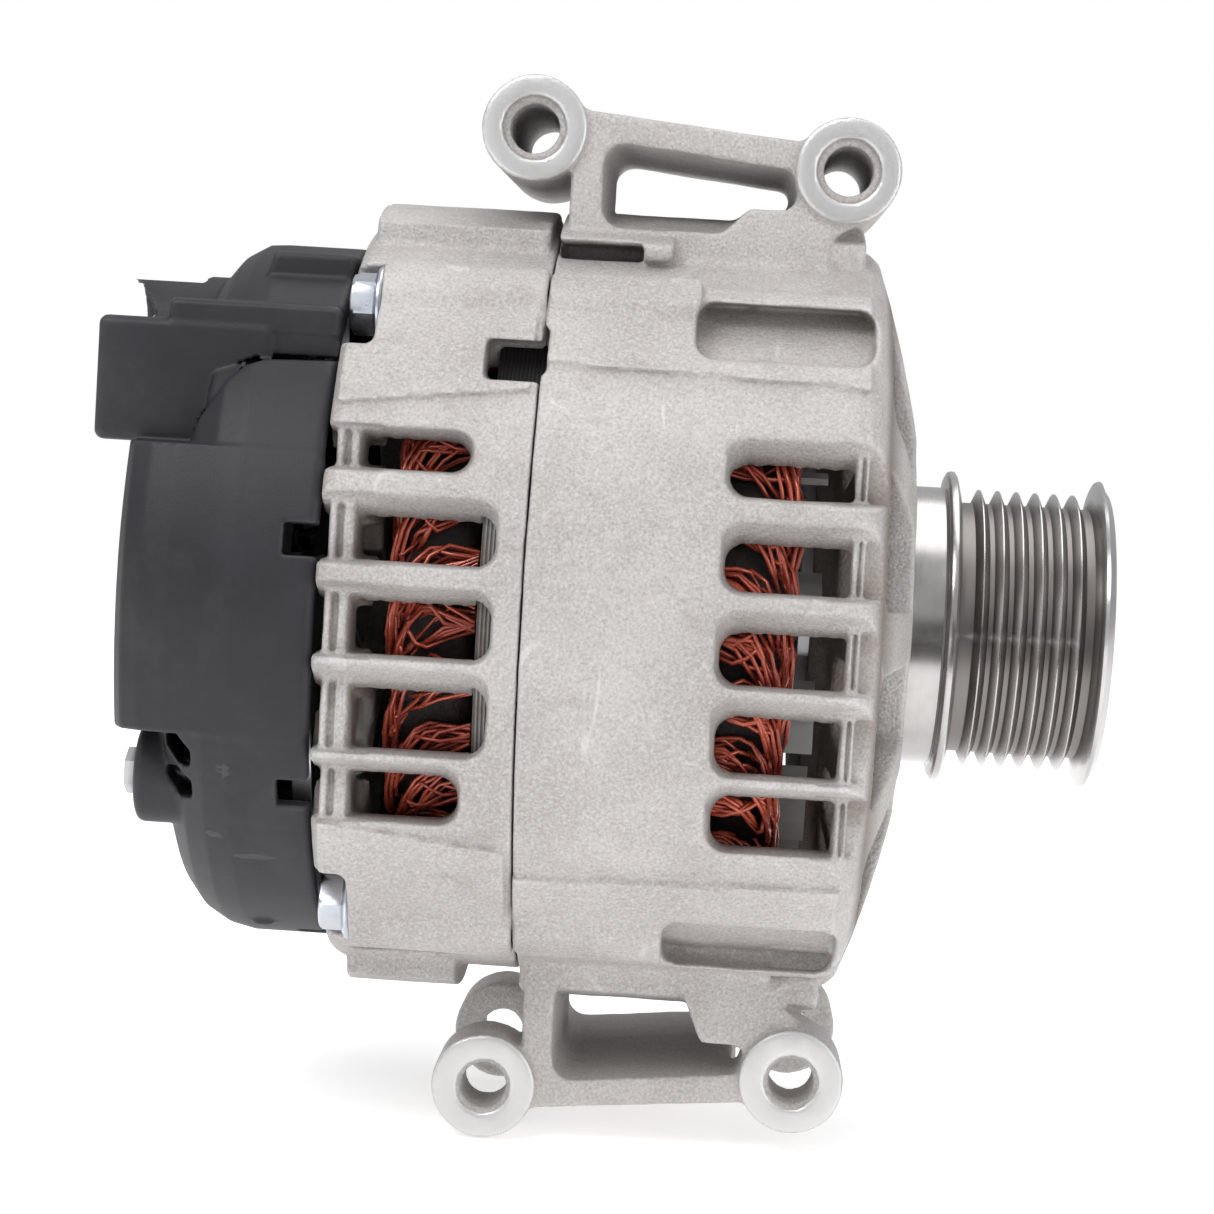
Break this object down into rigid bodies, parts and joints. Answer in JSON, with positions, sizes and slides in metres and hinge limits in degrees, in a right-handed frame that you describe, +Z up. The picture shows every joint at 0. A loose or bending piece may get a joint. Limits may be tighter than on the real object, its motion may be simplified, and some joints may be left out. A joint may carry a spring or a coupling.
{
  "type": "car alternator",
  "caption": "Air-cooled car alternator: cast aluminium housings with side windows and paired mounting lugs, claw-pole rotor, ribbed overrunning pulley and a black plastic rear cover.",
  "frame": {"origin": "on the shaft axis, in the plane of the third belt rib from the housing", "axes": "+X along the shaft from the rear cover toward the pulley, +Z up, and -Y toward the side whose mounting faces carry the bolt heads"},
  "size_m": [0.1856, 0.14, 0.1954],
  "materials": {
    "cast_aluminium": "shot blasted casting",
    "zinc_steel": "zinc plated",
    "bright_steel": "turned and polished",
    "electrical_steel": "laminated",
    "forged_steel": "forged",
    "bearing_steel": "ground",
    "enamelled_copper": "enamelled wire",
    "slot_paper": "insulating paper",
    "bobbin_plastic": "moulded",
    "cage_plastic": "moulded",
    "black_plastic": "satin moulded",
    "heat_sink": "pressed plate",
    "slip_copper": "turned copper",
    "bush_bronze": "sintered",
    "carbon": "pressed carbon",
    "terminal_brass": "tinned",
    "diode_can": "plated can"
  },
  "bodies": {
    "casing": {"front_housing": "cast_aluminium", "rear_housing": "cast_aluminium", "through_bolts": "zinc_steel", "stator_core": "electrical_steel", "slot_liners": "slot_paper", "stator_winding": "enamelled_copper", "phase_leads": "enamelled_copper", "front_bearing_outer": "bearing_steel", "rear_bearing_outer": "bearing_steel", "bearing_retainer": "zinc_steel", "retainer_screws": "zinc_steel", "bearing_sleeve": "black_plastic", "rectifier_plate_positive": "heat_sink", "rectifier_plate_negative": "heat_sink", "positive_diodes": "diode_can", "negative_diodes": "diode_can", "terminal_carrier": "black_plastic", "rectifier_screws": "zinc_steel", "regulator": "black_plastic", "inner_brush_spring": "bright_steel", "outer_brush_spring": "bright_steel", "output_stud": "zinc_steel", "connector_pins": "terminal_brass", "rear_cover": "black_plastic", "cover_screws": "zinc_steel"},
    "rotor": {"rotor_shaft": "bright_steel", "front_claw_pole": "forged_steel", "rear_claw_pole": "forged_steel", "field_coil": "enamelled_copper", "coil_bobbin": "bobbin_plastic", "front_fan": "bright_steel", "rear_fan": "bright_steel", "slip_ring_carrier": "black_plastic", "inner_slip_ring": "slip_copper", "outer_slip_ring": "slip_copper", "front_bearing_inner": "bearing_steel", "rear_bearing_inner": "bearing_steel", "pulley_hub": "bright_steel", "pulley_rollers": "bearing_steel", "roller_cage": "cage_plastic"},
    "pulley": {"pulley_rim": "bright_steel", "front_bush": "bush_bronze", "rear_bush": "bush_bronze", "pulley_cap": "black_plastic"},
    "front_ball_set": {"front_bearing_balls": "bearing_steel", "front_bearing_cage": "cage_plastic"},
    "rear_ball_set": {"rear_bearing_balls": "bearing_steel", "rear_bearing_cage": "cage_plastic"},
    "inner_brush_body": {"inner_brush": "carbon"},
    "outer_brush_body": {"outer_brush": "carbon"}
  },
  "joints": [
    {"name": "rotor_spin", "type": "hinge", "parent": "casing", "child": "rotor", "pos_m": [0, 0, 0], "axis": [1, 0, 0], "continuous": true},
    {"name": "pulley_overrun", "type": "hinge", "parent": "rotor", "child": "pulley", "pos_m": [0, 0, 0], "axis": [1, 0, 0], "continuous": true},
    {"name": "front_ball_set_spin", "type": "hinge", "parent": "casing", "child": "front_ball_set", "pos_m": [-0.0315, 0, 0], "axis": [1, 0, 0], "continuous": true},
    {"name": "rear_ball_set_spin", "type": "hinge", "parent": "casing", "child": "rear_ball_set", "pos_m": [-0.125, 0, 0], "axis": [1, 0, 0], "continuous": true},
    {"name": "inner_brush_slide", "type": "slide", "parent": "casing", "child": "inner_brush_body", "axis": [0, 0, 1], "range_m": [0, 0.0006], "stiffness_N_per_m": 150, "springref_m": -0.01, "deforming": ["inner_brush_spring"]},
    {"name": "outer_brush_slide", "type": "slide", "parent": "casing", "child": "outer_brush_body", "axis": [0, 0, 1], "range_m": [0, 0.0006], "stiffness_N_per_m": 150, "springref_m": -0.01, "deforming": ["outer_brush_spring"]}
  ],
  "couplings": [
    {"joint": "front_ball_set_spin", "follows": "rotor_spin", "ratio": 0.375},
    {"joint": "rear_ball_set_spin", "follows": "rotor_spin", "ratio": 0.3815}
  ]
}
